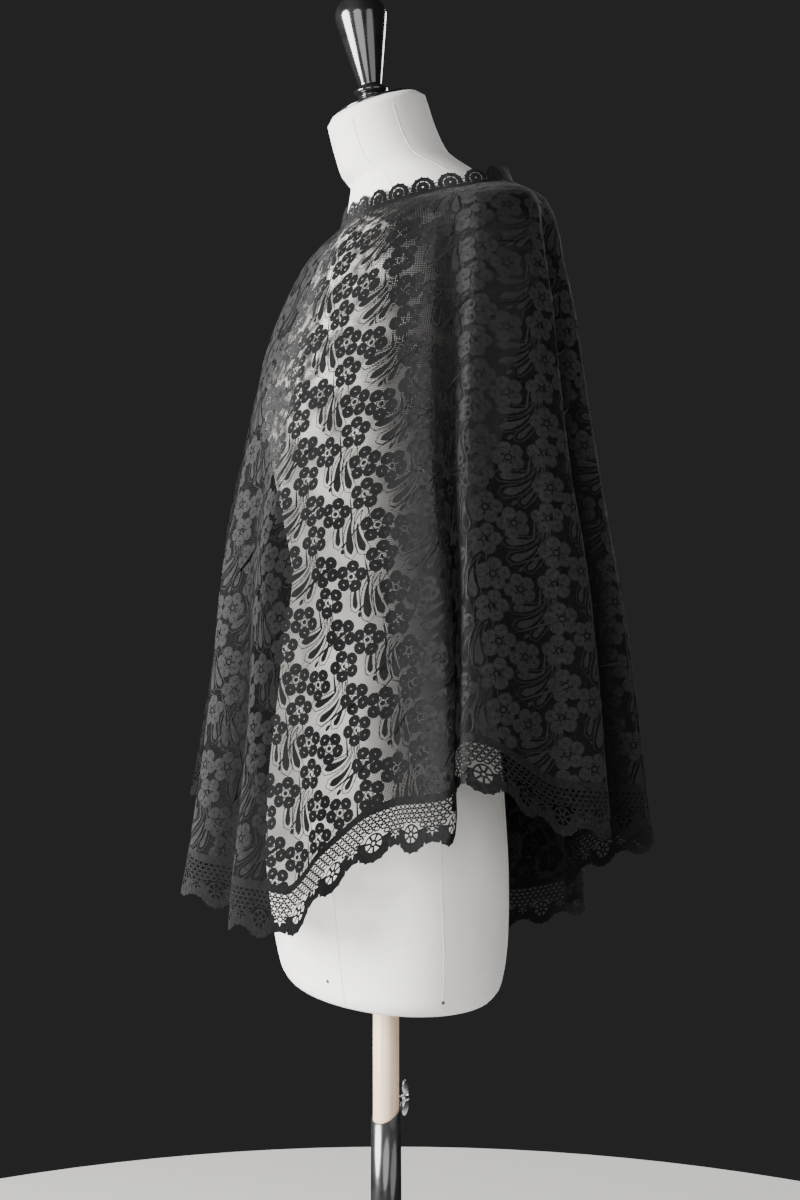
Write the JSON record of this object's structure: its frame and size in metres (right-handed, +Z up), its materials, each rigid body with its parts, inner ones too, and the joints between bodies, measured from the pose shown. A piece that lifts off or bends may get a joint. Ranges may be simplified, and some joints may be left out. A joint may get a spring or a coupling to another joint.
{
  "type": "lace cape on its dress form and stand",
  "caption": "Short round lace cape with scalloped edges, worn by a limbless dress form on a height-adjustable round-footed stand.",
  "frame": {"origin": "centre of the round foot's underside, on the floor and on the pole's axis", "axes": "+Z up along the pole, -Y the way the form faces, +X towards the form's left side"},
  "size_m": [0.5131, 0.4356, 1.5766],
  "materials": {
    "lace": "matt black lace",
    "border_lace": "matt black border lace",
    "form_cover": "white linen over a padded torso",
    "black_lacquer": "glossy black lacquer",
    "pale_wood": "satin",
    "black_enamel": "glossy black enamel",
    "bright_steel": "bright"
  },
  "bodies": {
    "stand": {"foot": "black_enamel", "column": "black_enamel"},
    "pole": {"pole": "pale_wood"},
    "bust": {"form": "form_cover", "neck_plate": "black_lacquer", "neck_knob": "black_lacquer", "cape_front": "lace", "cape_back": "lace", "hem_lace_front": "border_lace", "hem_lace_back": "border_lace", "neck_lace": "border_lace"},
    "wing_screw": {"wing_screw": "bright_steel"}
  },
  "joints": [
    {"name": "pole_slide", "type": "slide", "parent": "stand", "child": "pole", "axis": [0, 0, 1], "range_m": [-0.09, 0.12]},
    {"name": "form_turn", "type": "hinge", "parent": "pole", "child": "bust", "pos_m": [0, 0, 0.634], "axis": [0, 0, 1], "continuous": true},
    {"name": "wing_screw_turn", "type": "hinge", "parent": "stand", "child": "wing_screw", "pos_m": [-0.01075, 0.01862, 0.5165], "axis": [-0.5, 0.866, 0], "continuous": true}
  ]
}
